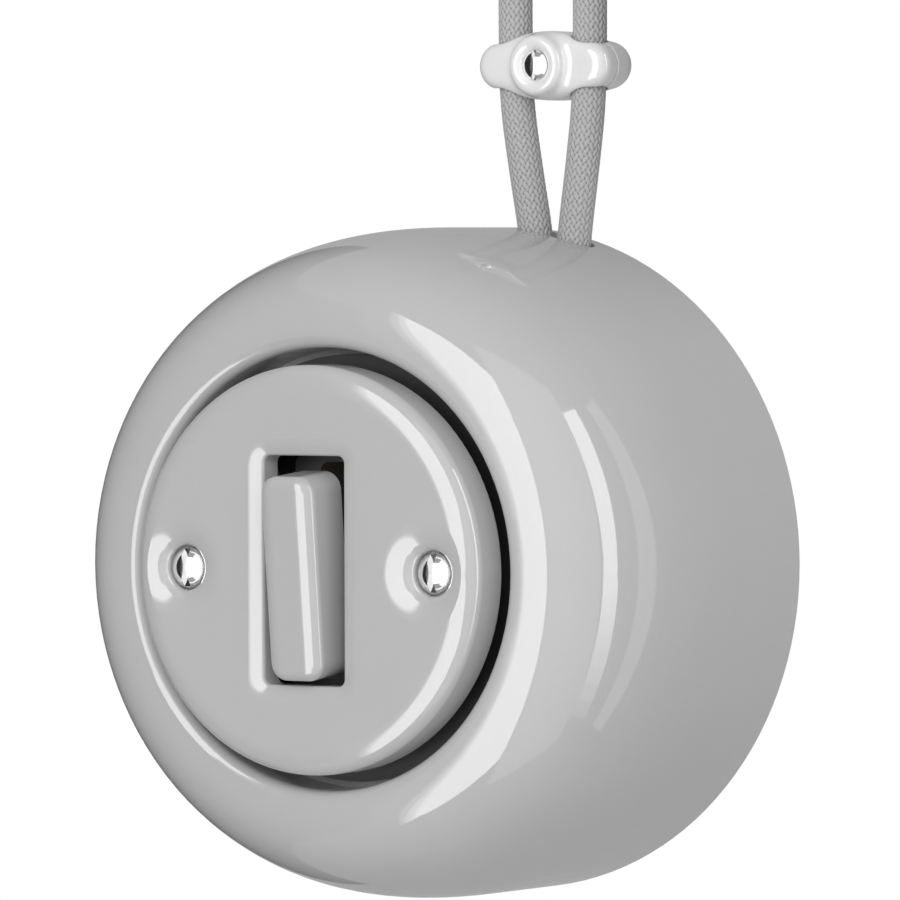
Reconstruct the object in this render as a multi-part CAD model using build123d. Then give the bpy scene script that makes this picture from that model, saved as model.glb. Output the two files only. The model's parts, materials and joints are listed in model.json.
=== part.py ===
from build123d import *
import math
import os

# A surface-mounted porcelain switch with its two cables and their cleat, in millimetres.
# The origin is on the wall, behind the middle of the housing. +Z is up and the room is
# towards -Y. A depth is a distance from the wall into the room, so y = -depth.

os.makedirs("parts", exist_ok=True)

# Housing shell
housing_radius = 50.0
housing_depth = 53.0
housing_wall = 5.0
crown_wall = 5.5
side_height = 19.0
shoulder_rise = 0.727
shoulder_reach = 0.66
lip_rounding = 1.8
collar_wall = 4.0
ledge_drop = 9.6
ledge_width = 5.0
ledge_thickness = 4.5
rim_rounding = 0.6

# Cover disc
cover_radius = 30.0
cover_gap = 2.4
cover_height = 13.2
cover_skirt = 7.8
cover_wall = 4.0
cover_face = 4.1
shoulder_start = 26.3
shoulder_turn = 28.8
shoulder_slope = 26.0
cover_rim_rounding = 0.6
cover_inner_rounding = 2.5
slot_width = 14.1
slot_length = 33.5
slot_corner = 1.1
slot_edge_start = 2.7
slot_edge_turn = 0.35
edge_slope = 21.5
edge_lift = 0.004
dish_radius = 7.9
dish_turn = 4.44
dish_end = 3.3
seat_drop = 3.8
post_radius = 4.0

# Cover screws
screw_pitch = 43.6
screw_radius = 1.5
screw_head = 3.0
head_side = 1.5
head_dome = 1.5
head_slot = 1.15
head_slot_depth = 1.25
small_slot = 0.8
head_clearance = 0.4
shank_clearance = 0.2
thread_clearance = 0.02
screw_bite = 4.0

# Support ring
ring_thickness = 1.2
ring_clearance = 1.0
ring_window_width = 22.0
ring_window_height = 33.0
tapped_boss_radius = 2.8
tapped_boss_height = 3.0

# Base plate on the wall, its pillars and their inserts
base_thickness = 3.0
base_clearance = 0.5
pillar_radius = 3.5
pillar_taper = 2.0
pillar_clearance = 0.5
pillar_gap = 0.3
insert_radius = 2.2
insert_length = 8.0
ring_screw_length = 7.0
ring_screw_head = 2.6
ring_screw_head_height = 1.6
wall_slot_pitch = 60.0
wall_slot_length = 9.0
wall_slot_radius = 2.25

# Switch body
body_width = 34.0
body_length = 21.0
body_rounding = 3.0
body_clearance = 1.5
pocket_width = 13.0
pocket_height = 31.0
pocket_depth = 12.4
pocket_rounding = 1.5
body_screw_x = 14.2
body_screw_z = 12.5
body_screw_radius = 1.1
body_screw_head = 2.1
body_screw_head_height = 1.3
body_screw_length = 8.0
cheek_thickness = 3.5
cheek_radius = 3.5

# Rocker and its pivot
pivot_above_ring = 3.9
pin_radius = 1.25
pin_clearance = 0.05
rest_tilt = 5.5
key_width = 9.1
key_length = 30.0
key_reach = 13.0
key_thickness = 8.5
key_flat = 1.9
key_turn = 3.5
key_slope = 21.5
key_rounding = 1.6
key_corner = 2.7
key_pocket_clearance = 0.1
tenon_width = 4.0
tenon_length = 16.0
tenon_height = 3.0
cradle_width = 9.0
cradle_length = 26.0
cradle_plate = 2.0
hub_radius = 3.2
hub_clearance = 0.3
tube_radius = 2.9
tube_length = 9.5
tube_floor = 3.0

# Plunger and spring
plunger_radius = 1.8
plunger_clearance = 0.1
plunger_tip_radius = 1.5
plunger_tail = 6.6
plunger_shoulder = 9.9
plunger_gap = 0.18
spring_wire = 0.22
spring_turns = 4
spring_clearance = 0.15

# Moving contact, a see-saw on the common terminal's ridge
contact_pivot_above_floor = 3.5
contact_tilt = 4.0
contact_width = 5.0
contact_reach = 11.0
contact_thickness = 1.0
contact_rise = 0.4
contact_hub = 1.8
ridge_radius = 0.7
ridge_clearance = 0.1
rivet_radius = 1.5
rivet_height = 0.8
rivet_reach = 9.4

# Terminals
terminal_width = 6.0
terminal_height = 7.0
terminal_pitch = 10.5
terminal_clearance = 0.1
terminal_stand = 1.4
terminal_recess = 0.4
pad_radius = 1.6
pad_gap = 0.1
wire_hole_radius = 1.4
wire_hole_depth = 6.0
clamp_screw_radius = 1.4
clamp_screw_head = 2.2
clamp_screw_head_height = 1.3
clamp_screw_inset = 3.6

# Cables
cable_radius = 2.5
cable_depth = 6.0
core_radius = 0.9
core_offset = 1.0
core_stub = 6.0
bare_stub = 4.0
bare_radius = 0.55
cable_clearance = 0.25

# Way in for the cables, and the bar that grips them
inlet_x = 10.6
inlet_depth = 6.0
inlet_width = 13.0
inlet_height = 5.8
bar_x = 10.75
bar_z = 34.0
bar_length = 24.0
bar_height = 5.0
bar_thickness = 2.6
bar_screw_offset = 9.2
bar_boss_radius = 2.7
bar_gap = 0.2
bar_screw_radius = 1.3
bar_screw_head = 2.2
bar_screw_head_height = 1.3

# Connector of the two neutral cores
connector_x = 14.0
connector_z = 15.4
connector_width = 10.0
connector_height = 12.0
connector_depth = 8.0
connector_pitch = 4.6
connector_hole_depth = 7.0
connector_wire_depth = 7.6
connector_screw_radius = 1.2
connector_screw_head = 1.6
connector_rounding = 0.8

# Cleat that clamps the cables above the housing
cleat_x = 10.1
cleat_z = 74.2
cleat_length = 23.3
cleat_end_radius = 3.6
cleat_half_height = 5.2
cleat_base_thickness = 5.6
cleat_split = 0.3
cleat_cap_thickness = 3.6
cleat_cable_spacing = 13.3
cleat_cable_depth = 5.8
cleat_back_rounding = 3.0
cleat_boss_radius = 4.4
cleat_boss_foot = 5.05
cleat_boss_height = 2.0
cleat_rim_rounding = 0.9
cleat_rounding = 1.9
cleat_dish_radius = 3.4
cleat_dish_depth = 0.8
cleat_screw_head = 2.2
cleat_screw_radius = 1.6
cleat_thread_radius = 1.4
cleat_neck_in_wall = 0.4
cleat_screw_in_wall = 12.5

# Sizes that follow from those above
opening_radius = cover_radius + cover_gap
crest_radius = opening_radius + lip_rounding
inner_radius = housing_radius - housing_wall
ledge_front = housing_depth - ledge_drop
ledge_back = ledge_front - ledge_thickness
ledge_radius = opening_radius - ledge_width
ring_back = ledge_front
ring_front = ring_back + ring_thickness
ring_radius = opening_radius - ring_clearance
cover_depth = ring_front + cover_height
cover_back = cover_depth - cover_face
cover_rim = cover_depth - cover_skirt
cover_seat = cover_depth - seat_drop
screw_x = screw_pitch / 2
pillar_z = ledge_radius - pillar_radius - pillar_clearance
pillar_top = ring_back - pillar_gap
base_radius = inner_radius - base_clearance
body_height = 2 * (pillar_z - pillar_radius - body_clearance)
body_back = ring_back - body_length
pocket_floor = ring_back - pocket_depth
pivot_depth = ring_front + pivot_above_ring
cheek_inner = pocket_width / 2
hub_half = cheek_inner - hub_clearance
tube_bore = plunger_radius + plunger_clearance
contact_pivot = pocket_floor + contact_pivot_above_floor
contact_back = contact_pivot + contact_rise
contact_front = contact_back + contact_thickness
plunger_reach = pivot_depth - contact_front - plunger_gap
terminal_front = pocket_floor + terminal_stand
terminal_back = body_back + terminal_recess
clamp_depth = body_back + clamp_screw_inset
cleat_front = cleat_base_thickness + cleat_split + cleat_cap_thickness
cleat_boss_front = cleat_front + cleat_boss_height


# Helpers

def facing(depth, x=0.0, z=0.0):
    """A plane parallel to the wall at a depth, seen from the room, with its up along +Z."""
    return Plane(origin=(x, -depth, z), x_dir=(1, 0, 0), z_dir=(0, -1, 0))


def prism(shape, near, far, x=0.0, z=0.0):
    """A flat shape drawn facing the room and carried from one depth to another."""
    return facing(near, x, z) * extrude(shape, far - near)


def rod(radius, near, far, x=0.0, z=0.0):
    """A round rod along the depth."""
    return prism(Circle(radius), near, far, x, z)


def crossbar(radius, half, depth, z=0.0):
    """A round bar along X."""
    side = Plane(origin=(0, -depth, z), x_dir=(0, 1, 0), z_dir=(1, 0, 0))
    return side * extrude(Circle(radius), half, both=True)


def upright(radius, low, high, x, depth):
    """A round bar along Z."""
    return Plane(origin=(x, -depth, low)) * extrude(Circle(radius), high - low)


def turned(outline, x=0.0, z=0.0):
    """A closed outline of radius and depth, turned about a line that runs into the room."""
    section = Plane(origin=(0, 0, 0), x_dir=(1, 0, 0), z_dir=(0, 0, -1))
    axis = Axis((0, 0, 0), (0, -1, 0))
    return Pos(x, 0, z) * revolve(section * make_face(outline), axis)


def leaned(piece, depth, degrees):
    """A piece turned about the line along X at a depth; positive carries its front down."""
    return Pos(0, -depth, 0) * Rot(degrees, 0, 0) * Pos(0, depth, 0) * piece


def edges_near(piece, depth, slack=0.05):
    """The edges whose middles lie at a depth."""
    return [e for e in piece.edges() if abs(-e.center().Y - depth) < slack]


def steepening(start, run, slope, steeper):
    """An arc that goes outwards over a run while its fall steepens from one angle to another."""
    low, high = math.radians(slope), math.radians(steeper)
    radius = run / (math.sin(high) - math.sin(low))
    across, depth = start
    middle = (across - radius * math.sin(low), depth - radius * math.cos(low))
    return CenterArc(middle, radius, 90 - slope, slope - steeper)


def soft_edge(start, turn, end, face):
    """An edge that rolls down from a face to a wall: a wide arc, then a tight one."""
    wide = steepening((start, face), turn - start, 0, edge_slope)
    tight = steepening(spot(wide @ 1), end - turn, edge_slope, 90)
    return wide, tight


def spot(place):
    """A point of a flat curve as a pair."""
    return (place.X, place.Y)


def slotted_screw(shank, head, seat, side, dome, end, slot, slot_depth):
    """A turned screw with a domed head and an upright driver slot, on the depth axis."""
    crown = seat + side + dome
    outline = Polyline(
        (0, end), (shank - 0.3, end), (shank, end + 0.4), (shank, seat), (head, seat),
        (head, seat + side),
    )
    top = ThreePointArc(
        (head, seat + side), (0.55 * head, seat + side + 0.72 * dome), (0, crown)
    )
    screw = turned(outline + top + Line((0, crown), (0, end)))
    cut = prism(Rectangle(slot, 3 * head), crown - slot_depth, crown + 1)
    return screw - cut


# Housing

def housing():
    """The slip-cast shell: one wall that runs up the side, over the lip and back to a ledge."""
    inner_front = housing_depth - crown_wall
    inner_crest = opening_radius + collar_wall
    outer_rise = side_height + shoulder_rise * (housing_depth - side_height)
    inner_rise = side_height + shoulder_rise * (inner_front - side_height)
    outer_reach = crest_radius + shoulder_reach * (housing_radius - crest_radius)
    inner_reach = inner_crest + shoulder_reach * (inner_radius - inner_crest)
    outer = Line((housing_radius, 0), (housing_radius, side_height)) + Bezier(
        (housing_radius, side_height), (housing_radius, outer_rise),
        (outer_reach, housing_depth), (crest_radius, housing_depth),
    )
    lip = CenterArc((crest_radius, housing_depth - lip_rounding), lip_rounding, 90, 90)
    collar = Polyline(
        (opening_radius, housing_depth - lip_rounding), (opening_radius, ledge_front),
        (ledge_radius, ledge_front), (ledge_radius, ledge_back),
        (inner_crest, ledge_back), (inner_crest, inner_front),
    )
    inner = Bezier(
        (inner_crest, inner_front), (inner_reach, inner_front),
        (inner_radius, inner_rise), (inner_radius, side_height),
    ) + Polyline((inner_radius, side_height), (inner_radius, 0), (housing_radius, 0))
    shell = turned(outer + lip + collar + inner)
    shell = fillet(edges_near(shell, 0), rim_rounding)
    oval = Plane(origin=(inlet_x, -inlet_depth, 0)) * SlotOverall(inlet_width, inlet_height)
    return shell - extrude(oval, housing_radius + 5)


# Cover disc and its screws

def cover_disc():
    """The domed cup that hides the switch, with its slot and two funnel-shaped screw seats."""
    cup = turned(cover_outline())
    cup = fillet(edges_near(cup, cover_rim), cover_rim_rounding)
    cup = fillet(edges_near(cup, cover_back), cover_inner_rounding)
    slot = RectangleRounded(slot_width, slot_length, slot_corner)
    cup -= prism(slot, cover_back - 1, cover_depth + 1)
    cup -= slot_edge(slot)
    for side in (-1, 1):
        x = side * screw_x
        cup += rod(post_radius, ring_front, cover_back + 1, x)
        cup -= turned(dish_outline(), x)
        cup -= rod(screw_head + head_clearance, cover_seat, cover_depth + 1, x)
        cup -= rod(screw_radius + shank_clearance, ring_front - 1, cover_depth + 1, x)
    return cup


def cover_outline():
    """Half of the cup's section: flat face, soft shoulder, side, rim and inside."""
    soft = steepening((shoulder_start, cover_depth), shoulder_turn - shoulder_start, 0, shoulder_slope)
    tight = steepening(spot(soft @ 1), cover_radius - shoulder_turn, shoulder_slope, 90)
    side = (tight @ 1).Y
    inner = cover_radius - cover_wall
    return Line((0, cover_depth), (shoulder_start, cover_depth)) + soft + tight + Polyline(
        (cover_radius, side), (cover_radius, cover_rim), (inner, cover_rim),
        (inner, cover_back), (0, cover_back), (0, cover_depth),
    )


def slot_edge(slot):
    """What the slot's soft edge takes away: its section carried round the slot."""
    face = cover_depth + edge_lift
    wide, tight = soft_edge(-slot_edge_start, -slot_edge_turn, 0, face)
    above = face + 1
    foot = (tight @ 1).Y
    section = make_face(wide + tight + Polyline(
        (0, foot), (slot_corner / 2, foot), (slot_corner / 2, above), (-slot_edge_start, above),
        (-slot_edge_start, face),
    ))
    start = Plane(origin=(-slot_width / 2, 0, 0), x_dir=(1, 0, 0), z_dir=(0, 0, -1))
    path = facing(0) * slot.wire()
    return sweep(start * section, path)


def dish_outline():
    """Half of the section of what a screw seat takes away: a funnel that ends in the hole."""
    face = cover_depth + edge_lift
    wide, tight = soft_edge(-dish_radius, -dish_turn, -dish_end, face)
    foot = (tight @ 1).Y
    above = face + 1
    funnel = wide + tight + Polyline(
        (-dish_end, foot), (0, foot), (0, above), (-dish_radius, above), (-dish_radius, face)
    )
    return mirror(funnel, Plane.YZ)


def cover_screws():
    """Two domed slotted screws that hold the disc to the ring's tapped bosses."""
    end = ring_back - screw_bite
    screw = slotted_screw(
        screw_radius, screw_head, cover_seat, head_side, head_dome, end,
        head_slot, head_slot_depth,
    )
    return Compound([Pos(side * screw_x, 0, 0) * screw for side in (-1, 1)])


# Support ring and its screws

def support_ring():
    """The steel plate on the ledge, with the window for the rocker and two tapped bosses."""
    ring = rod(ring_radius, ring_back, ring_front)
    for side in (-1, 1):
        boss_back = ring_back - tapped_boss_height
        ring += rod(tapped_boss_radius, boss_back, ring_back, side * screw_x)
    ring -= prism(
        RectangleRounded(ring_window_width, ring_window_height, pocket_rounding),
        ring_back - 1, ring_front + 1,
    )
    for side in (-1, 1):
        tapped = screw_radius + thread_clearance
        ring -= rod(tapped, ring_back - screw_bite, ring_front + 1, side * screw_x)
        hole = screw_radius + shank_clearance
        ring -= rod(hole, ring_back - 1, ring_front + 1, 0, side * pillar_z)
        for x in (-body_screw_x, body_screw_x):
            hole = body_screw_radius + shank_clearance
            ring -= rod(hole, ring_back - 1, ring_front + 1, x, side * body_screw_z)
    return ring


def ring_screws():
    """Two screws that pull the ring, and with it the housing, to the pillars."""
    screw = slotted_screw(
        screw_radius, ring_screw_head, ring_front, ring_screw_head_height / 2,
        ring_screw_head_height / 2, ring_front - ring_screw_length, small_slot,
        ring_screw_head_height / 2,
    )
    return Compound([Pos(0, 0, side * pillar_z) * screw for side in (-1, 1)])


# Base plate

def base_plate():
    """The fired disc on the wall, with its pillars, wall slots and cable-bar bosses."""
    plate = rod(base_radius, 0, base_thickness)
    foot = pillar_radius + pillar_taper
    for side in (-1, 1):
        cone = Polyline(
            (0, base_thickness - 1), (foot, base_thickness - 1), (foot, base_thickness),
            (pillar_radius, pillar_top), (0, pillar_top), (0, base_thickness - 1),
        )
        plate += turned(cone, 0, side * pillar_z)
        boss_top = cable_depth + cable_radius - bar_gap
        x = bar_x + side * bar_screw_offset
        plate += rod(bar_boss_radius, base_thickness - 1, boss_top, x, bar_z)
    for side in (-1, 1):
        seat = pillar_top - insert_length
        plate -= rod(insert_radius, seat, pillar_top + 1, 0, side * pillar_z)
        slot = SlotOverall(wall_slot_length, 2 * wall_slot_radius)
        plate -= prism(slot, -1, base_thickness + 1, side * wall_slot_pitch / 2)
        x = bar_x + side * bar_screw_offset
        plate -= rod(bar_screw_radius, base_thickness / 2, cable_depth + cable_radius + 1, x, bar_z)
    return plate


def base_inserts():
    """Two threaded brass tubes in the tops of the pillars."""
    tube = rod(insert_radius, pillar_top - insert_length, pillar_top)
    bore = screw_radius + thread_clearance
    tube -= rod(bore, pillar_top - insert_length - 1, pillar_top + 1)
    return Compound([Pos(0, 0, side * pillar_z) * tube for side in (-1, 1)])


# Switch body, its screws and its terminals

def mechanism_body():
    """The fired block behind the ring: pocket, cheeks for the pivot, and terminal wells."""
    body = prism(
        RectangleRounded(body_width, body_height, body_rounding), body_back, ring_back
    )
    body -= prism(
        RectangleRounded(pocket_width, pocket_height, pocket_rounding), pocket_floor, ring_back + 1
    )
    for side in (-1, 1):
        body += cheek(side)
    for z in (-terminal_pitch, 0, terminal_pitch):
        well = Rectangle(
            terminal_width + 2 * terminal_clearance, terminal_height + 2 * terminal_clearance
        )
        body -= prism(well, body_back - 1, pocket_floor + 1, 0, z)
    for piece in clamp_screw_ways():
        body -= piece
    body -= crossbar(pin_radius, cheek_inner + cheek_thickness + 1, pivot_depth)
    for x in (-body_screw_x, body_screw_x):
        for z in (-body_screw_z, body_screw_z):
            end = ring_front - body_screw_length
            body -= rod(body_screw_radius, end - 0.5, ring_back + 1, x, z)
    return body


def cheek(side):
    """One of the two ears that hold the pivot pin."""
    root = ring_back - cheek_radius
    web = Rectangle(pivot_depth - root, 2 * cheek_radius)
    ear = Pos((root + pivot_depth) / 2, 0) * web + Pos(pivot_depth, 0) * Circle(cheek_radius)
    plane = Plane(origin=(side * cheek_inner, 0, 0), x_dir=(0, -1, 0), z_dir=(side, 0, 0))
    return plane * extrude(ear, cheek_thickness)


def clamp_screw_ways():
    """The holes through the body's walls for the three clamp screws."""
    ways = []
    shank = clamp_screw_radius + shank_clearance
    recess = clamp_screw_head + shank_clearance
    for side in (-1, 1):
        wall = side * body_height / 2
        ways.append(along_z(shank, wall + side, side * terminal_pitch, clamp_depth))
        ways.append(along_z(recess, wall + side, clamp_seat_z(side), clamp_depth))
    ways.append(along_x(shank, body_width / 2 + 1, 0, clamp_depth))
    ways.append(along_x(recess, body_width / 2 + 1, clamp_seat_x(), clamp_depth))
    return ways


def clamp_seat_z(side):
    """Where an upper or lower clamp screw's head bears."""
    return side * (body_height / 2 - clamp_screw_head_height)


def clamp_seat_x():
    """Where the common clamp screw's head bears."""
    return body_width / 2 - clamp_screw_head_height


def along_z(radius, start, end, depth, x=0.0):
    """A round bar between two heights."""
    return upright(radius, min(start, end), max(start, end), x, depth)


def along_x(radius, start, end, depth, z=0.0):
    """A round bar between two places across."""
    low = min(start, end)
    plane = Plane(origin=(low, -depth, z), x_dir=(0, 1, 0), z_dir=(1, 0, 0))
    return plane * extrude(Circle(radius), abs(end - start))


def mechanism_screws():
    """Four screws that hold the body to the back of the ring."""
    screw = slotted_screw(
        body_screw_radius, body_screw_head, ring_front, body_screw_head_height / 2,
        body_screw_head_height / 2, ring_front - body_screw_length, small_slot,
        body_screw_head_height / 2,
    )
    places = [(x, z) for x in (-body_screw_x, body_screw_x) for z in (-body_screw_z, body_screw_z)]
    return Compound([Pos(x, 0, z) * screw for x, z in places])


def terminal_block(z):
    """A brass block in its well, with its wire hole from the back."""
    block = prism(Rectangle(terminal_width, terminal_height), terminal_back, terminal_front, 0, z)
    return block - rod(wire_hole_radius, terminal_back - 1, terminal_back + wire_hole_depth, 0, z)


def clamp_way(block, side):
    """The block with its tapped hole for a clamp screw from above or below."""
    z = side * terminal_pitch
    edge = side * (terminal_pitch + terminal_height)
    return block - along_z(clamp_screw_radius + thread_clearance, edge, z, clamp_depth)


def side_terminal(side):
    """The upper or lower terminal, with the pad that the see-saw's rivet meets."""
    block = clamp_way(terminal_block(side * terminal_pitch), side)
    drop = (rivet_reach + rivet_radius) * math.sin(math.radians(contact_tilt))
    pad_front = contact_back - rivet_height - drop - pad_gap
    block += rod(pad_radius, terminal_front, pad_front, 0, side * rivet_reach)
    return block


def common_terminal():
    """The middle terminal, with the round-topped ridge that the see-saw rocks on."""
    block = terminal_block(0)
    block -= along_x(
        clamp_screw_radius + thread_clearance, terminal_width, 0, clamp_depth
    )
    web = Rectangle(contact_width - 2 * ridge_clearance, 2 * ridge_radius)
    block += prism(web, terminal_front, contact_pivot)
    block += crossbar(ridge_radius, contact_width / 2 - ridge_clearance, contact_pivot)
    return block


def terminal_screws():
    """Three clamp screws, each with its tip on its core."""
    tip = core_radius + 0.05
    pieces = []
    for side in (-1, 1):
        seat = clamp_seat_z(side)
        screw = along_z(clamp_screw_radius, seat, side * (terminal_pitch + tip), clamp_depth)
        face = side * body_height / 2
        screw += along_z(clamp_screw_head, seat, face, clamp_depth)
        driver = Pos(0, -clamp_depth, face) * Box(small_slot, 3 * clamp_screw_head, 1.2)
        pieces.append(screw - driver)
    seat = clamp_seat_x()
    screw = along_x(clamp_screw_radius, seat, tip, clamp_depth)
    screw += along_x(clamp_screw_head, seat, body_width / 2, clamp_depth)
    driver = Pos(body_width / 2, -clamp_depth, 0) * Box(1.2, 3 * clamp_screw_head, small_slot)
    pieces.append(screw - driver)
    return Compound(pieces)


# Rocker

def rocker_key():
    """The glazed button, with the pocket in its back for the cradle's tenon."""
    back = pivot_depth + key_reach - key_thickness
    front = pivot_depth + key_reach
    key = prism(RectangleRounded(key_width, key_length, key_corner), back, front)
    key &= Pos(0, 0, -key_length) * extrude(key_crown(front, back), 2 * key_length)
    key = fillet(edges_near(key, front, 2 * key_rounding / 3), key_rounding)
    grow = 2 * key_pocket_clearance
    pocket = Rectangle(tenon_width + grow, tenon_length + grow)
    key -= prism(pocket, back - 1, back + tenon_height + key_pocket_clearance)
    return leaned(key, pivot_depth, rest_tilt)


def key_crown(front, back):
    """The button's section from above: a flat strip that rolls over on either side."""
    roll = steepening((key_flat, front), key_turn - key_flat, 0, key_slope)
    end = spot(roll @ 1)
    reach = key_width
    low = end[1] - (reach - key_turn) * math.tan(math.radians(key_slope))
    half = Line((0, front), (key_flat, front)) + roll + Polyline(
        end, (reach, low), (reach, back - 1), (0, back - 1)
    )
    return mirror(make_face(half + mirror(half, Plane.YZ)), Plane.XZ)


def rocker_cradle():
    """What carries the button: tenon, plate, hub on the pin, and the plunger's tube."""
    plate_front = pivot_depth + key_reach - key_thickness
    plate_back = plate_front - cradle_plate
    cradle = prism(Rectangle(cradle_width, cradle_length), plate_back, plate_front)
    cradle += prism(Rectangle(tenon_width, tenon_length), plate_front - 1, plate_front + tenon_height)
    cradle += crossbar(hub_radius, hub_half, pivot_depth)
    cradle += rod(tube_radius, pivot_depth - tube_length, plate_back + 0.5)
    cradle -= crossbar(pin_radius + pin_clearance, hub_half + 1, pivot_depth)
    cradle -= rod(tube_bore, pivot_depth - tube_length - 1, pivot_depth - tube_floor)
    return leaned(cradle, pivot_depth, rest_tilt)


def pivot_pin():
    """The steel pin through both cheeks."""
    return crossbar(pin_radius, cheek_inner + cheek_thickness, pivot_depth)


def plunger():
    """The sprung pin in the cradle's tube, with a round tip that rides on the see-saw."""
    ball = pivot_depth - plunger_reach + plunger_tip_radius
    shoulder = pivot_depth - plunger_shoulder
    body = rod(plunger_radius, shoulder, pivot_depth - plunger_tail)
    body += rod(plunger_tip_radius, ball, shoulder + 0.5)
    body += Pos(0, -ball, 0) * Sphere(plunger_tip_radius)
    return leaned(body, pivot_depth, rest_tilt)


def plunger_spring():
    """The coil between the tube's floor and the plunger, its fine wire given six flats."""
    wire = spring_wire
    near = pivot_depth - plunger_tail + wire
    far = pivot_depth - tube_floor - wire
    radius = tube_bore - spring_clearance - wire
    path = facing(near) * Helix((far - near) / spring_turns, far - near, radius)
    start = Plane(origin=path @ 0, z_dir=path % 0)
    coil = sweep(start * RegularPolygon(wire, 6), path=path)
    return leaned(coil, pivot_depth, rest_tilt)


def moving_contact():
    """The see-saw strip, with its grooved hub and a rivet near each end."""
    strip = prism(Rectangle(contact_width, 2 * contact_reach), contact_back, contact_front)
    strip += prism(Rectangle(contact_width, 2 * contact_hub), contact_pivot, contact_back + 0.2)
    strip -= crossbar(ridge_radius + ridge_clearance, contact_width, contact_pivot)
    for side in (-1, 1):
        rivet_back = contact_back - rivet_height
        strip += rod(rivet_radius, rivet_back, contact_back + 0.2, 0, side * rivet_reach)
    return leaned(strip, contact_pivot, -contact_tilt)


# Cables

def path_radii(points):
    """The largest arc that each corner's two runs allow."""
    radii = []
    for before, here, after in zip(points, points[1:], points[2:]):
        come = Vector(*here) - Vector(*before)
        go = Vector(*after) - Vector(*here)
        shorter = min(come.length, go.length)
        turn = math.radians(come.get_angle(go))
        radii.append(0.45 * shorter / math.tan(turn / 2))
    return radii


def tube(name, route, radius):
    """A round tube along a route of places given as across, depth and height."""
    points = [(x, -depth, z) for x, depth, z in route]
    radii = path_radii(points)
    print(name, "bend radii", [round(r, 1) for r in radii])
    path = FilletPolyline(*points, radius=radii)
    start = Plane(origin=path @ 0, z_dir=path % 0)
    solid = sweep(start * Circle(radius), path=path)
    print(name, "length", round(path.length, 1), "volume ratio",
          round(solid.volume / (math.pi * radius**2 * path.length), 4))
    return solid


# Each cable comes up from the bar, leaves the housing through its inlet, spreads to the
# cleat and goes on straight up the wall.
left_route = [
    (8.05, 6.0, 29.5), (8.0, 6.0, 38.5), (7.35, 6.0, 48.0), (5.35, 5.9, 58.5),
    (3.6, 5.8, 69.0), (3.43, 5.8, 80.0), (3.46, 5.8, 91.0),
]
right_route = [
    (13.45, 6.0, 29.5), (13.35, 6.0, 38.5), (13.9, 6.0, 48.0), (15.35, 5.9, 58.5),
    (16.6, 5.8, 69.0), (16.77, 5.8, 80.0), (16.74, 5.8, 91.0),
]
live_route = [
    (7.05, 6.0, 29.4), (7.1, 6.4, 24.2), (6.7, 7.6, 19.0), (5.6, 9.7, 14.2),
    (4.0, 12.4, 9.8), (2.1, 15.3, 5.8), (0.7, 18.3, 2.2), (0.05, 22.1, 0.15), (0.0, 27.4, 0.0),
]
switched_route = [
    (12.45, 6.0, 29.15), (12.4, 7.3, 26.6), (11.8, 10.3, 24.2), (10.0, 13.6, 21.4),
    (7.2, 15.4, 17.4), (4.2, 16.6, 13.9), (1.3, 18.9, 11.6), (0.1, 22.0, 10.6),
    (0.0, 27.2, 10.5),
]
left_neutral_route = [
    (9.05, 6.0, 29.38), (9.3, 6.1, 26.9), (10.2, 6.5, 24.6), (11.3, 7.2, 22.4),
    (11.7, 7.6, 19.8),
]
right_neutral_route = [
    (14.45, 6.0, 29.4), (14.6, 6.1, 26.9), (15.2, 6.5, 24.5), (16.0, 7.2, 22.3),
    (16.3, 7.6, 19.8),
]


def core_stubs(route):
    """The two stripped cores that stand out of a cable's upper end."""
    x, depth, top = route[-1]
    pieces = []
    for side in (-1, 1):
        core = upright(core_radius, top, top + core_stub, x + side * core_offset, depth)
        end = top + core_stub + bare_stub
        core += upright(bare_radius, top + core_stub, end, x + side * core_offset, depth)
        pieces.append(core)
    return Compound(pieces)


# Cable bar and connector

def strain_relief_bar():
    """The bar that presses both cables on the base plate."""
    near = cable_depth + cable_radius - bar_gap
    bar = prism(RectangleRounded(bar_length, bar_height, 1.5), near, near + bar_thickness, bar_x, bar_z)
    for route in (left_route, right_route):
        x = (route[0][0] + route[1][0]) / 2
        groove = cable_radius + cable_clearance
        bar -= upright(groove, bar_z - bar_height, bar_z + bar_height, x, cable_depth)
    for side in (-1, 1):
        hole = bar_screw_radius + shank_clearance
        bar -= rod(hole, near - 1, near + bar_thickness + 1, bar_x + side * bar_screw_offset, bar_z)
    return bar


def strain_relief_screws():
    """The two screws of the bar."""
    seat = cable_depth + cable_radius - bar_gap + bar_thickness
    screw = slotted_screw(
        bar_screw_radius - thread_clearance, bar_screw_head, seat, bar_screw_head_height / 2,
        bar_screw_head_height / 2, base_thickness / 2, small_slot, bar_screw_head_height / 2,
    )
    places = [bar_x + side * bar_screw_offset for side in (-1, 1)]
    return Compound([Pos(x, 0, bar_z) * screw for x in places])


def neutral_connector():
    """The block that joins the two neutral cores, on the base plate."""
    front = base_thickness + connector_depth
    block = prism(
        Rectangle(connector_width, connector_height), base_thickness, front, connector_x, connector_z
    )
    block = fillet(edges_near(block, front), connector_rounding)
    top = connector_z + connector_height / 2
    for side in (-1, 1):
        x = connector_x + side * connector_pitch / 2
        block -= upright(
            wire_hole_radius + shank_clearance, top - connector_hole_depth, top + 1,
            x, connector_wire_depth,
        )
        block -= rod(connector_screw_head + shank_clearance, front - 1.6, front + 1, x, connector_z + 2)
        block -= rod(
            connector_screw_radius + thread_clearance, connector_wire_depth, front, x, connector_z + 2
        )
    return block


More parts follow.
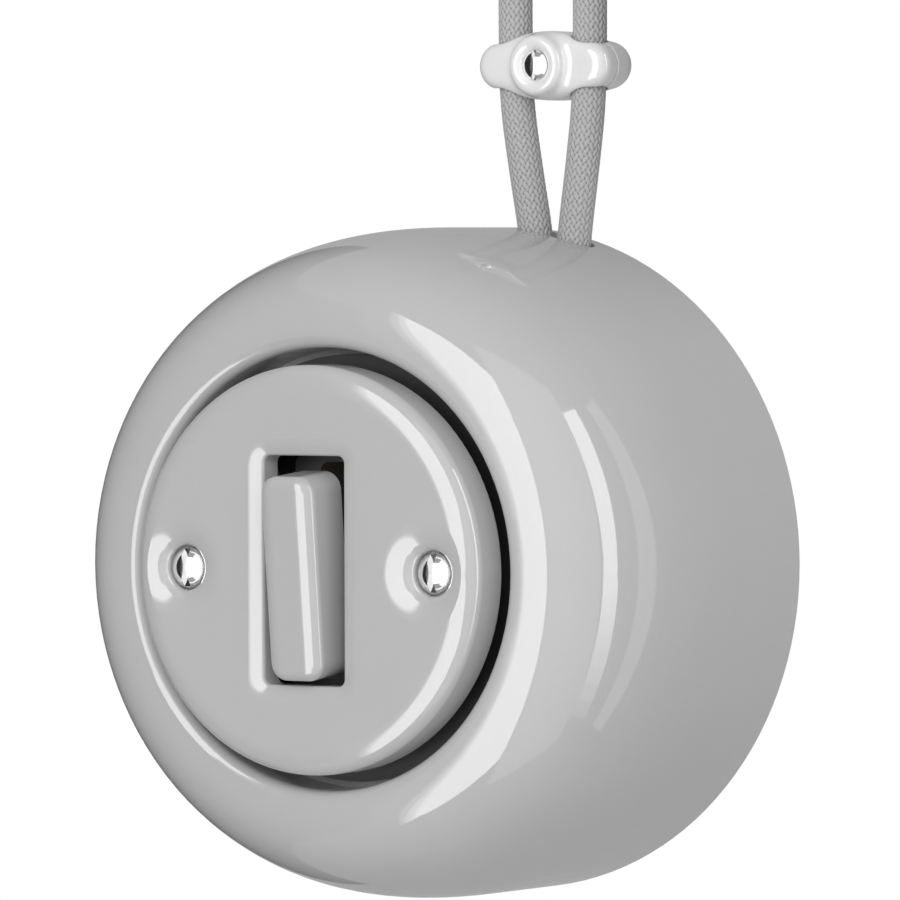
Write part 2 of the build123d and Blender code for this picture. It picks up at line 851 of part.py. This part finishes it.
def connector_screws():
    """The two clamp screws of the connector."""
    front = base_thickness + connector_depth
    screw = slotted_screw(
        connector_screw_radius, connector_screw_head, front - 1.6, 0.6, 0.3,
        connector_wire_depth + core_radius + 0.05, 0.6, 0.6,
    )
    places = [connector_x + side * connector_pitch / 2 for side in (-1, 1)]
    return Compound([Pos(x, 0, connector_z + 2) * screw for x in places])


# Cleat

def cleat_outline():
    """Half-round ends and a fuller middle, seen from the room."""
    end = cleat_length / 2 - cleat_end_radius
    lean = math.radians(78)
    meet = (end + cleat_end_radius * math.cos(lean), cleat_end_radius * math.sin(lean))
    pull = 3.0
    top = Bezier(
        (0, cleat_half_height), (0.4 * end, cleat_half_height),
        (meet[0] - pull * math.sin(lean), meet[1] + pull * math.cos(lean)), meet,
    )
    quarter = top + CenterArc((end, 0), cleat_end_radius, 0, math.degrees(lean))
    half = quarter + mirror(quarter, Plane.XZ)
    return make_face(half + mirror(half, Plane.YZ))


def cable_grooves(grow):
    """The room that the two cables take in the cleat."""
    pieces = []
    for side in (-1, 1):
        x = cleat_x + side * cleat_cable_spacing / 2
        reach = 3 * cleat_half_height
        pieces.append(
            upright(cable_radius + grow, cleat_z - reach, cleat_z + reach, x, cleat_cable_depth)
        )
    return pieces


def cleat_base():
    """The half of the cleat that lies on the wall."""
    base = prism(cleat_outline(), 0, cleat_base_thickness, cleat_x, cleat_z)
    base = fillet(edges_near(base, 0), cleat_back_rounding)
    for groove in cable_grooves(cable_clearance):
        base -= groove
    return base - rod(cleat_screw_radius + shank_clearance, -1, cleat_front, cleat_x, cleat_z)


def cleat_cap():
    """The half that presses the cables, with its raised and dished middle."""
    near = cleat_base_thickness + cleat_split
    cap = prism(cleat_outline(), near, cleat_front, cleat_x, cleat_z)
    cap = fillet(edges_near(cap, cleat_front), cleat_rounding)
    boss = turned(Polyline(
        (0, near + 1), (cleat_boss_foot, near + 1), (cleat_boss_foot, cleat_front - 1),
        (cleat_boss_radius, cleat_boss_front), (0, cleat_boss_front), (0, near + 1),
    ), cleat_x, cleat_z)
    cap += fillet(edges_near(boss, cleat_boss_front), cleat_rim_rounding)
    ball = (cleat_dish_radius**2 + cleat_dish_depth**2) / (2 * cleat_dish_depth)
    floor = cleat_boss_front - cleat_dish_depth
    cap -= Pos(cleat_x, -(floor + ball), cleat_z) * Sphere(ball)
    for groove in cable_grooves(cable_clearance):
        cap -= groove
    cap -= rod(cleat_screw_head + 0.15, cleat_screw_seat(), cleat_boss_front + 1, cleat_x, cleat_z)
    return cap - rod(cleat_screw_radius + shank_clearance, 0, cleat_front + 1, cleat_x, cleat_z)


def cleat_screw_seat():
    """The depth at which the cleat screw's head bears."""
    return cleat_boss_front - cleat_dish_depth - 0.6


def cleat_screw():
    """The slotted wood screw: a smooth neck in the cleat, then its thread in the wall."""
    screw = slotted_screw(
        cleat_screw_radius, cleat_screw_head, cleat_screw_seat(), 0.7, 0.8, -cleat_neck_in_wall,
        0.6, 0.9,
    )
    thread = rod(cleat_thread_radius, -cleat_screw_in_wall, 1)
    return Pos(cleat_x, 0, cleat_z) * (screw + thread)


# The parts, one file each

parts = {
    "housing": housing(),
    "cover_disc": cover_disc(),
    "cover_screws": cover_screws(),
    "support_ring": support_ring(),
    "ring_screws": ring_screws(),
    "base_plate": base_plate(),
    "base_inserts": base_inserts(),
    "mechanism_body": mechanism_body(),
    "mechanism_screws": mechanism_screws(),
    "upper_terminal": side_terminal(1),
    "lower_terminal": side_terminal(-1),
    "common_terminal": common_terminal(),
    "terminal_screws": terminal_screws(),
    "rocker_key": rocker_key(),
    "rocker_cradle": rocker_cradle(),
    "pivot_pin": pivot_pin(),
    "plunger": plunger(),
    "plunger_spring": plunger_spring(),
    "moving_contact": moving_contact(),
    "cable_left": tube("cable_left", left_route, cable_radius),
    "cable_right": tube("cable_right", right_route, cable_radius),
    "cable_left_cores": core_stubs(left_route),
    "cable_right_cores": core_stubs(right_route),
    "live_core": tube("live_core", live_route, core_radius),
    "switched_core": tube("switched_core", switched_route, core_radius),
    "neutral_core_left": tube("neutral_core_left", left_neutral_route, core_radius),
    "neutral_core_right": tube("neutral_core_right", right_neutral_route, core_radius),
    "strain_relief_bar": strain_relief_bar(),
    "strain_relief_screws": strain_relief_screws(),
    "neutral_connector": neutral_connector(),
    "connector_screws": connector_screws(),
    "cleat_base": cleat_base(),
    "cleat_cap": cleat_cap(),
    "cleat_screw": cleat_screw(),
}

for name, shape in parts.items():
    export_step(shape, f"parts/{name}.step")
    print(name, "solids", len(shape.solids()), "volume", round(shape.volume, 1))
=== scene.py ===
# %% [markdown]
# # A grey porcelain switch, its cover disc and its two braided cables
# The construction model arrives as a fixed frame. This script gives it its look: smooth
# glazed shells, braided cables, polished screws, studio lights and the camera of the photograph.
# Everything is in metres, with +Z up the wall and -Y out of the wall.

import json
import math

import bmesh
import bpy
import numpy as np
from mathutils import Matrix, Vector


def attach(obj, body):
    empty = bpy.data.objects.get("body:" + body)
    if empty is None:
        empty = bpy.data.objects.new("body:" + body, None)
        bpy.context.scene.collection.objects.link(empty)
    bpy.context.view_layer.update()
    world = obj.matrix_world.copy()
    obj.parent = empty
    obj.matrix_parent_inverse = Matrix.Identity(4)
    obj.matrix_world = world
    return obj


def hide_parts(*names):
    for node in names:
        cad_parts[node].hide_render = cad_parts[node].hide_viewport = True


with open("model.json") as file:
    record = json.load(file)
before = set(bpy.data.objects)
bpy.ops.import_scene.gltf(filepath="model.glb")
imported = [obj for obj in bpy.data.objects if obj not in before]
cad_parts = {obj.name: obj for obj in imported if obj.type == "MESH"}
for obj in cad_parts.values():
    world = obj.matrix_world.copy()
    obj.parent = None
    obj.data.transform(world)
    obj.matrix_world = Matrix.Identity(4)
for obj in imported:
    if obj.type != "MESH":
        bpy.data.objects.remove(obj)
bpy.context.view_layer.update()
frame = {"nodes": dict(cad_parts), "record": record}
nodes = frame["nodes"]
MM = 0.001
print("solids in the frame", len(nodes))

# %% [markdown]
# ## Materials
# A small class turns shader sockets into things that can be added and multiplied, so that a
# material reads like a formula. Constant values are set on the shader's own sockets.

# %% Shader sums


class Sock:
    """A shader output that takes part in sums and products."""

    def __init__(self, tree, out):
        self.tree, self.out = tree, out

    def node(self, kind, inputs=(), output=0, **settings):
        """Adds a node fed by sockets or numbers, and gives one of its outputs."""
        made = self.tree.nodes.new(kind)
        for key, value in settings.items():
            setattr(made, key, value)
        for place, value in (inputs.items() if isinstance(inputs, dict) else enumerate(inputs)):
            if isinstance(value, Sock):
                self.tree.links.new(value.out, made.inputs[place])
            else:
                made.inputs[place].default_value = value
        return Sock(self.tree, made.outputs[output])

    def math(self, operation, *others):
        return self.node("ShaderNodeMath", (self, *others), operation=operation)

    def __add__(self, other):
        return self.math("ADD", other)

    def __sub__(self, other):
        return self.math("SUBTRACT", other)

    def __mul__(self, other):
        return self.math("MULTIPLY", other)

    def __rsub__(self, other):
        return self.node("ShaderNodeMath", (other, self), operation="SUBTRACT")

    __radd__ = __add__
    __rmul__ = __mul__


def material(name, **values):
    """A new material: its shader, and a position to build on."""
    made = bpy.data.materials.new(name)
    made.use_nodes = True
    tree = made.node_tree
    shader = tree.nodes["Principled BSDF"]
    for key, value in values.items():
        shader.inputs[key.replace("_", " ")].default_value = value
    place = tree.nodes.new("ShaderNodeTexCoord")
    return made, shader, Sock(tree, place.outputs["Object"])


def feed(shader, socket, source):
    source.tree.links.new(source.out, shader.inputs[socket])


def colour_ramp(source, low, high):
    """A colour that runs from one to another as the source runs from 0 to 1."""
    ends = {0: source, 6: (*low, 1), 7: (*high, 1)}
    return source.node("ShaderNodeMix", ends, 2, data_type="RGBA")


def grey_ramp(source, low, high):
    return colour_ramp(source, (low, low, low), (high, high, high))


def speckle(place, scale, detail=2.0):
    return place.node("ShaderNodeTexNoise", {"Vector": place, "Scale": scale, "Detail": detail})


def bump(source, strength, distance):
    return source.node(
        "ShaderNodeBump", {"Height": source, "Strength": strength, "Distance": distance}
    )


# %% [markdown]
# ## Glazes
# Glazed porcelain is a matt grey body under a hard clear skin. The skin gives crisp window
# reflections, and very faint waves in it keep them from looking computed. The body's colour
# takes a slow cloud and a fine grain, each from a noise on the piece's own coordinates.

# %% Glazes
GLAZE_IOR = 1.52
CLOUD_SCALE, GRAIN_SCALE, GLOSS_SCALE, WAVE_SCALE = 90.0, 2600.0, 300.0, 55.0
CLOUD_SHARE = 0.55
GLOSS_SPREAD = 0.02
WAVE_STRENGTH, WAVE_DEPTH = 0.02, 0.4 * MM


def glaze(name, low, high, rough=0.045):
    """A glazed porcelain whose body runs between two greys."""
    made, shader, place = material(name, IOR=GLAZE_IOR)
    cloud = speckle(place, CLOUD_SCALE, 3.0)
    grain = speckle(place, GRAIN_SCALE, 1.0)
    body = cloud * CLOUD_SHARE + grain * (1 - CLOUD_SHARE)
    feed(shader, "Base Color", grey_ramp(body, low, high))
    feed(shader, "Roughness", speckle(place, GLOSS_SCALE) * GLOSS_SPREAD + rough - GLOSS_SPREAD / 2)
    feed(shader, "Normal", bump(speckle(place, WAVE_SCALE, 1.0), WAVE_STRENGTH, WAVE_DEPTH))
    return made


grey_glaze = glaze("grey_porcelain", 0.465, 0.505)
rocker_glaze = glaze("rocker_porcelain", 0.455, 0.495)
white_glaze = glaze("white_glaze", 0.76, 0.82, 0.05)
print("glazes", [m.name for m in (grey_glaze, rocker_glaze, white_glaze)])

# %% [markdown]
# ## Metals, bare ceramic and plastics
# The inner pieces need less: one mottled noise drives the colour, the roughness and a fine bump.
# Each solid of the construction model then takes the finish that its slot names.

# %% Plain finishes
SKIN_SPREAD, SKIN_MIDDLE = 0.15, 0.07


def plain(name, low, high, rough, metal, scale, depth):
    """A metal, ceramic or plastic with a fine mottled skin."""
    made, shader, place = material(name, Metallic=metal)
    skin = speckle(place, scale, 4.0)
    feed(shader, "Base Color", grey_ramp(skin, low, high))
    feed(shader, "Roughness", skin * SKIN_SPREAD + rough - SKIN_MIDDLE)
    feed(shader, "Normal", bump(skin, 0.25, depth))
    return made


polished = plain("polished_screws", 0.72, 0.82, 0.11, 1.0, 1500.0, 0.01 * MM)
black_steel = plain("black_steel", 0.012, 0.03, 0.5, 0.0, 700.0, 0.05 * MM)
steel = plain("steel", 0.45, 0.6, 0.35, 1.0, 900.0, 0.02 * MM)
# Painted shade: the inner ceramic, pale in itself, is given a dark grey so that the inside of the slot
# looks dark.
bare_ceramic = plain("bare_ceramic", 0.15, 0.20, 0.75, 0.0, 500.0, 0.1 * MM)
phenolic = plain("phenolic", 0.018, 0.035, 0.45, 0.0, 800.0, 0.03 * MM)
insulation = plain("core_insulation", 0.16, 0.22, 0.4, 0.0, 1000.0, 0.02 * MM)

DULL_BRASS, CLEAN_BRASS = (0.55, 0.38, 0.16), (0.75, 0.56, 0.27)
brass, brass_shader, brass_place = material("brass", Metallic=1.0)
brass_skin = speckle(brass_place, 700.0, 4.0)
feed(brass_shader, "Base Color", colour_ramp(brass_skin, DULL_BRASS, CLEAN_BRASS))
feed(brass_shader, "Roughness", brass_skin * 0.2 + 0.22)
feed(brass_shader, "Normal", bump(brass_skin, 0.2, 0.03 * MM))

finishes = {
    "grey_porcelain": grey_glaze, "rocker_porcelain": rocker_glaze, "polished_screws": polished,
    "black_steel": black_steel, "steel": steel, "bare_ceramic": bare_ceramic, "brass": brass,
    "phenolic": phenolic, "white_glaze": white_glaze, "core_insulation": insulation,
}
for part in frame["record"]["subparts"]:
    if part["material_slot"] in finishes:
        mesh = nodes[part["node"]].data
        mesh.materials.clear()
        mesh.materials.append(finishes[part["material_slot"]])
print("finishes", len(finishes))

# %% [markdown]
# ## Cleat cap
# Slip-cast and glazed, the cap flows from its flat ends into its dished middle without an edge.
# A remesh into small even faces can be smoothed where a solid's long thin faces can't. Only the
# room side is smoothed, so that the cap's back and the grooves behind it stay as they are.

# %% Cleat cap
CAP_BACK = 6.3 * MM
CAP_GRAIN = 0.13 * MM
SMOOTHINGS = 90


def even_copy(node, grain):
    """A copy of a solid's mesh, made anew from small faces of one size."""
    sheet = bmesh.new()
    sheet.from_mesh(nodes[node].data)
    bmesh.ops.remove_doubles(sheet, verts=sheet.verts, dist=0.002 * MM)
    coarse = bpy.data.meshes.new(node + "_coarse")
    sheet.to_mesh(coarse)
    sheet.free()
    holder = bpy.data.objects.new(node + "_coarse", coarse)
    bpy.context.scene.collection.objects.link(holder)
    remesh = holder.modifiers.new("fine", "REMESH")
    remesh.mode = "VOXEL"
    remesh.voxel_size = grain
    bpy.context.view_layer.update()
    fine = bpy.data.meshes.new_from_object(
        holder.evaluated_get(bpy.context.evaluated_depsgraph_get())
    )
    bpy.data.objects.remove(holder)
    return fine


cap_mesh = even_copy("cleat_cap", CAP_GRAIN)
cap_mesh.name = "cleat_cap_glazed"
cap = bmesh.new()
cap.from_mesh(cap_mesh)
front = [v for v in cap.verts if v.co.y < -CAP_BACK]
for _ in range(SMOOTHINGS):
    bmesh.ops.smooth_vert(
        cap, verts=front, factor=0.5, use_axis_x=True, use_axis_y=True, use_axis_z=True
    )
for face in cap.faces:
    face.smooth = True
cap.to_mesh(cap_mesh)
cap.free()
cap_mesh.materials.clear()
cap_mesh.materials.append(white_glaze)
cleat_cap = bpy.data.objects.new("cleat_cap_glazed", cap_mesh)
bpy.context.scene.collection.objects.link(cleat_cap)
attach(cleat_cap, "switch_body")
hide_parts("cleat_cap")
print("cleat cap faces", len(cap_mesh.polygons), "smoothed points", len(front))

# %% [markdown]
# ## Cable routes
# Each cable follows the same points as its solid, as the control points of one smooth spline.
# A point is given in millimetres as across, depth from the wall and height.

# %% Cable routes
left_route = [
    (8.05, 6.0, 29.5), (8.0, 6.0, 38.5), (7.35, 6.0, 48.0), (5.35, 5.9, 58.5),
    (3.6, 5.8, 69.0), (3.43, 5.8, 80.0), (3.46, 5.8, 91.0),
]
right_route = [
    (13.45, 6.0, 29.5), (13.35, 6.0, 38.5), (13.9, 6.0, 48.0), (15.35, 5.9, 58.5),
    (16.6, 5.8, 69.0), (16.77, 5.8, 80.0), (16.74, 5.8, 91.0),
]


def spline_points(name, route):
    """Points along the smooth spline that a route's points control."""
    curve = bpy.data.curves.new(name + "_line", "CURVE")
    curve.dimensions = "3D"
    curve.resolution_u = 32
    spline = curve.splines.new("NURBS")
    spline.points.add(len(route) - 1)
    for point, (x, depth, z) in zip(spline.points, route):
        point.co = (x * MM, -depth * MM, z * MM, 1)
    spline.order_u = 3
    spline.use_endpoint_u = True
    line = bpy.data.objects.new(name + "_line", curve)
    bpy.context.scene.collection.objects.link(line)
    bpy.context.view_layer.update()
    mesh = bpy.data.meshes.new_from_object(line)
    points = np.array([v.co for v in mesh.vertices])
    bpy.data.objects.remove(line)
    bpy.data.curves.remove(curve)
    bpy.data.meshes.remove(mesh)
    return points


def even_points(points, step):
    """The same line as points a step apart, and how far along each lies."""
    gaps = np.linalg.norm(np.diff(points, axis=0), axis=1)
    run = np.concatenate([[0], np.cumsum(gaps)])
    marks = np.linspace(0, run[-1], int(run[-1] / step) + 1)
    return np.stack([np.interp(marks, run, points[:, k]) for k in range(3)], 1), marks


print("points on each route", len(left_route), len(right_route))


# %% [markdown]
# ## Braid
# A round textile cable is braided from strands that run both ways round it, each over two and
# under two, which gives upright zigzag columns of slanting tiles. A picture of it would look
# flat at the cable's edge, so the braid is real relief on a fine tube: at each point the two
# strands that pass there each have a height, and the higher one shows.

# %% Braid height
CARRIERS = 20
PITCH = 1.25 * MM
STRAND_SHARE, WEAVE_SHARE = 0.6, 0.4


def crown(across):
    """The height of a strand's rounded back, across its width from 0 to 1."""
    return np.sqrt(np.clip(1 - np.abs(2 * across - 1) ** 3, 0, 1))


def weave(phase):
    """Up over two strands and down under two, from 1 to -1."""
    return np.clip(1.5 * np.cos(np.pi * (phase - 1) / 2), -1, 1)


def braid_height(turn, along):
    """The relief of the braid, from 0 in the deepest joint to about 1 on the crown of a strand."""
    rising, falling = turn * CARRIERS + along / PITCH, turn * CARRIERS - along / PITCH
    i, j = np.floor(rising), np.floor(falling)
    rise = crown(rising - i) * STRAND_SHARE + weave(i + falling) * WEAVE_SHARE
    fall = crown(falling - j) * STRAND_SHARE - weave(rising + j) * WEAVE_SHARE
    return np.maximum(rise, fall)


patch = braid_height(np.linspace(0, 1, 400)[None, :], np.linspace(0, 4 * PITCH, 200)[:, None])
print("braid height from", round(float(patch.min()), 2), "to", round(float(patch.max()), 2))


# %% [markdown]
# The tube is a ring of points at each step along the route. Every point stands out from the
# middle by the cable's radius and the braid's height there, and keeps that height as an attribute
# from which the low joints between the strands get painted shade.

# %% Braided tubes
CABLE_RADIUS = 2.5 * MM
TUBE_SIDES = 200
TUBE_STEP = 0.133 * MM
RELIEF = 0.34 * MM
MEAN_HEIGHT = 0.75


def braided_tube(name, route):
    """A braided cable along a route, closed at both ends, and the points it follows."""
    path = spline_points(name, route)
    centre, along = even_points(path, TUBE_STEP)
    ahead = np.gradient(centre, axis=0)
    ahead /= np.linalg.norm(ahead, axis=1)[:, None]
    across = np.cross(ahead, (0.0, -1.0, 0.0))
    across /= np.linalg.norm(across, axis=1)[:, None]
    out = np.cross(across, ahead)
    turn = np.arange(TUBE_SIDES) / TUBE_SIDES
    height = braid_height(turn[None, :], along[:, None])
    radius = CABLE_RADIUS + RELIEF * (height - MEAN_HEIGHT)
    angle = 2 * np.pi * turn[None, :, None]
    spoke = across[:, None, :] * np.cos(angle) + out[:, None, :] * np.sin(angle)
    rings = centre[:, None, :] + spoke * radius[:, :, None]
    count = len(centre)
    row = np.arange(count - 1)[:, None] * TUBE_SIDES
    here = (row + np.arange(TUBE_SIDES)).ravel()
    beside = (row + (np.arange(TUBE_SIDES) + 1) % TUBE_SIDES).ravel()
    faces = np.stack([here, beside, beside + TUBE_SIDES, here + TUBE_SIDES], 1).tolist()
    faces += [list(range(TUBE_SIDES))[::-1], list(range((count - 1) * TUBE_SIDES, count * TUBE_SIDES))]
    mesh = bpy.data.meshes.new(name)
    mesh.from_pydata(rings.reshape(-1, 3).tolist(), [], faces)
    mesh.update()
    mesh.polygons.foreach_set("use_smooth", [True] * (len(faces) - 2) + [False, False])
    heights = mesh.attributes.new("relief", "FLOAT", "POINT")
    heights.data.foreach_set("value", height.ravel().astype(np.float32))
    made = bpy.data.objects.new(name, mesh)
    bpy.context.scene.collection.objects.link(made)
    return made, path


# Painted shade: the braid's colour goes to a deep grey in the low joints between the strands and is its
# own grey on their crowns; a fine fibre noise adds tone.
JOINT_HEIGHT, STRAND_HEIGHT = 0.45, 0.80
JOINT_SHADE_GREY, STRAND_GREY = 0.13, 0.46
FIBRE_SHARE = 0.2
braid, braid_shader, braid_place = material("grey_braid", Roughness=0.8)
braid_shader.inputs["Sheen Weight"].default_value = 0.05
braid_shader.inputs["Sheen Roughness"].default_value = 0.5
relief = braid_place.node("ShaderNodeAttribute", output=2, attribute_name="relief")
fibre = speckle(braid_place, 3500.0, 3.0)
lift = relief.node("ShaderNodeMapRange", {0: relief, 1: JOINT_HEIGHT, 2: STRAND_HEIGHT, 3: 0.0, 4: 1.0})
shade_and_fibre = lift * (1 - FIBRE_SHARE) + fibre * FIBRE_SHARE
feed(braid_shader, "Base Color", grey_ramp(shade_and_fibre, JOINT_SHADE_GREY, STRAND_GREY))
feed(braid_shader, "Normal", bump(fibre, 0.35, 0.06 * MM))

for name, route in (("cable_left", left_route), ("cable_right", right_route)):
    cable, path = braided_tube(name + "_braid", route)
    cable.data.materials.append(braid)
    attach(cable, "switch_body")
    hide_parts(name)
    run = float(np.linalg.norm(np.diff(path, axis=0), axis=1).sum())
    print(name, "length", round(run, 4), "triangles", 2 * len(cable.data.polygons))

# %% [markdown]
# ## Camera
# The camera stands where the photographer stood: a long lens, a little over a third of a right
# angle to the right and just above the switch. Its aim is set by where the middle of the housing
# falls in the picture.

# %% Camera
AZIMUTH, ELEVATION, ROLL = map(math.radians, (33.9, 2.3, -0.15))
DISTANCE = 1.2
PIXELS_PER_METRE = 6720.0
MIDDLE_PIXEL = (419.4, 563.5)
PICTURE = 900
MIDDLE = Vector((0, -0.027, 0))
SENSOR = 36

back = Vector((
    math.sin(AZIMUTH) * math.cos(ELEVATION), -math.cos(AZIMUTH) * math.cos(ELEVATION),
    math.sin(ELEVATION),
))
level = Vector((math.cos(AZIMUTH), math.sin(AZIMUTH), 0))
rise = level.cross(-back)
right = math.cos(ROLL) * level + math.sin(ROLL) * rise
up = math.cos(ROLL) * rise - math.sin(ROLL) * level
aside = (PICTURE / 2 - MIDDLE_PIXEL[0]) / PIXELS_PER_METRE
above = (MIDDLE_PIXEL[1] - PICTURE / 2) / PIXELS_PER_METRE
aim = MIDDLE + right * aside + up * above
stand = MIDDLE + back * DISTANCE
away = (stand - aim).normalized()
side = (right - away * right.dot(away)).normalized()
head = away.cross(side)
lens = bpy.data.cameras.new("camera")
lens.sensor_width = SENSOR
lens.lens = PIXELS_PER_METRE * DISTANCE / PICTURE * SENSOR
lens.clip_start, lens.clip_end = 0.05, 20
camera = bpy.data.objects.new("camera", lens)
bpy.context.scene.collection.objects.link(camera)
camera.matrix_world = Matrix((
    (side.x, head.x, away.x, stand.x), (side.y, head.y, away.y, stand.y),
    (side.z, head.z, away.z, stand.z), (0, 0, 0, 1),
))
bpy.context.scene.camera = camera
print("camera lens", round(lens.lens, 1), "mm at", [round(v, 3) for v in stand])

# %% [markdown]
# ## Lamps
# On glaze, a lamp is seen twice: as the light it throws and as its own bright picture. Here the
# pictures come from panels that only reflections see, a tall one in front, a little to the left,
# with a soft left edge, and a narrow one to the right that fades downwards. A pale wall stands
# between them, and a faint glow to the right of both. One lamp that reflections don't see
# gives the light.

# %% Lamps
PANEL_DISTANCE, WALL_DISTANCE = 2.0, 2.3
LIT_POINT = Vector((0, -0.03, 0))
SHINE = 6.6
FADE_SHINE, EDGE_SHINE = 0.6, 0.25
BOX_LEFT, BOX_RIGHT, BOX_LOW, BOX_HIGH = -22.5, 9, -41, 40
EDGE = 2
STRIP_LEFT, STRIP_RIGHT, STRIP_HIGH = 84, 98, 46
FADE_START, FADE_STEP, FADE_STEPS = -4, 5, 8
FIRST_FADE, FADE_LOSS = 0.92, 0.11


def panel(name, left, right, low, high, radiance, distance=PANEL_DISTANCE, mirrored=True):
    """A rectangular lamp between two azimuths and two elevations, for reflections or for light."""
    a, e = math.radians((left + right) / 2), math.radians((low + high) / 2)
    towards = Vector((math.sin(a) * math.cos(e), -math.cos(a) * math.cos(e), math.sin(e)))
    data = bpy.data.lights.new(name, "AREA")
    data.shape = "RECTANGLE"
    data.size = 2 * distance * math.tan(math.radians((right - left) / 2))
    data.size_y = 2 * distance * math.tan(math.radians((high - low) / 2))
    data.energy = radiance * math.pi * data.size * data.size_y
    made = bpy.data.objects.new(name, data)
    made.location = LIT_POINT + towards * distance
    made.rotation_mode = "QUATERNION"
    made.rotation_quaternion = towards.to_track_quat("Z", "Y")
    made.visible_camera = False
    made.visible_glossy = mirrored
    made.visible_diffuse = not mirrored
    bpy.context.scene.collection.objects.link(made)


panel("front_box", BOX_LEFT, BOX_RIGHT, BOX_LOW, BOX_HIGH, SHINE)
panel("front_box_fade", BOX_LEFT - EDGE, BOX_LEFT, BOX_LOW, BOX_HIGH, SHINE * FADE_SHINE)
panel(
    "front_box_edge", BOX_LEFT - 2 * EDGE, BOX_LEFT - EDGE, BOX_LOW, BOX_HIGH, SHINE * EDGE_SHINE
)
panel("side_strip", STRIP_LEFT, STRIP_RIGHT, FADE_START, STRIP_HIGH, SHINE)
for step in range(FADE_STEPS):
    top = FADE_START - FADE_STEP * step
    fade = SHINE * (FIRST_FADE - FADE_LOSS * step)
    panel("side_strip_end", STRIP_LEFT, STRIP_RIGHT, top - FADE_STEP, top, fade)
panel("side_glow", 113, 123, -44, 44, 1.1)
panel("pale_wall", BOX_RIGHT, STRIP_LEFT - 2, -58, 60, 1.0, distance=WALL_DISTANCE)
panel("key", 10, 46, 3, 39, 4.2, mirrored=False)
print("lamps", len(bpy.data.lights))

# %% [markdown]
# ## World
# The even light round the object, the backdrop and what the glaze reflects where no panel stands
# are three different things, so the world's strength follows the kind of ray. The camera sees
# plain white paper.

# %% World
EVEN_LIGHT, REFLECTED, BACKDROP = 0.58, 0.42, 1.0
world = bpy.data.worlds.new("studio")
bpy.context.scene.world = world
world.use_nodes = True
world_tree = world.node_tree
world_tree.nodes.clear()
rays = world_tree.nodes.new("ShaderNodeLightPath")
seen = Sock(world_tree, rays.outputs["Is Camera Ray"])
shiny = Sock(world_tree, rays.outputs["Is Glossy Ray"])
lit = shiny.node("ShaderNodeMix", {0: shiny, 2: EVEN_LIGHT, 3: REFLECTED}, 0, data_type="FLOAT")
strength = seen.node("ShaderNodeMix", {0: seen, 2: lit, 3: BACKDROP}, 0, data_type="FLOAT")
sky = strength.node("ShaderNodeBackground", {"Color": (1, 1, 1, 1), "Strength": strength})
world_out = world_tree.nodes.new("ShaderNodeOutputWorld")
world_tree.links.new(sky.out, world_out.inputs["Surface"])
print("world strengths", EVEN_LIGHT, REFLECTED, BACKDROP)

# %% [markdown]
# ## Paper and cards
# A sheet of paper lies far below. Two black cards shape the light, as a photographer's do: a big
# one on the left, seen only in reflections, darkens the left halves of the polished screws, and
# a small one to the right of the cables keeps light off their right sides.

# %% Paper and cards
PAPER_DROP = 0.3


def card(name, centre, length, breadth, tilt, finish):
    """A flat rectangle, made from a unit square that is stretched, tilted about Y and moved."""
    stretch = Matrix.Diagonal((length, breadth, 1, 1))
    place = Matrix.Translation(centre) @ Matrix.Rotation(math.radians(tilt), 4, "Y") @ stretch
    shape = bmesh.new()
    bmesh.ops.create_grid(shape, x_segments=1, y_segments=1, size=0.5, matrix=place)
    mesh = bpy.data.meshes.new(name)
    shape.to_mesh(mesh)
    shape.free()
    mesh.materials.append(finish)
    made = bpy.data.objects.new(name, mesh)
    bpy.context.scene.collection.objects.link(made)
    return made


paper, paper_shader, paper_place = material("paper", Roughness=0.9)
feed(paper_shader, "Base Color", grey_ramp(speckle(paper_place, 40.0, 2.0), 0.78, 0.82))
felt, felt_shader, felt_place = material("felt", Roughness=1.0)
feed(felt_shader, "Base Color", grey_ramp(speckle(felt_place, 30.0, 2.0), 0.01, 0.02))

floor = card("floor", (0, 0, -PAPER_DROP), 2, 2, 0, paper)
floor.visible_glossy = False
floor.visible_shadow = False

flag = card("flag", (-2.2, -0.55, 0), 4.8, 6.1, 90, felt)
flag.visible_camera = False
flag.visible_diffuse = False
flag.visible_shadow = False

shade = card("shade", (0.040, 0.05, 0.141), 0.158, 0.14, 90, felt)
shade.visible_camera = False
shade.visible_glossy = False
print("cards", [c.name for c in (floor, flag, shade)])

bpy.context.scene.view_settings.view_transform = "Standard"
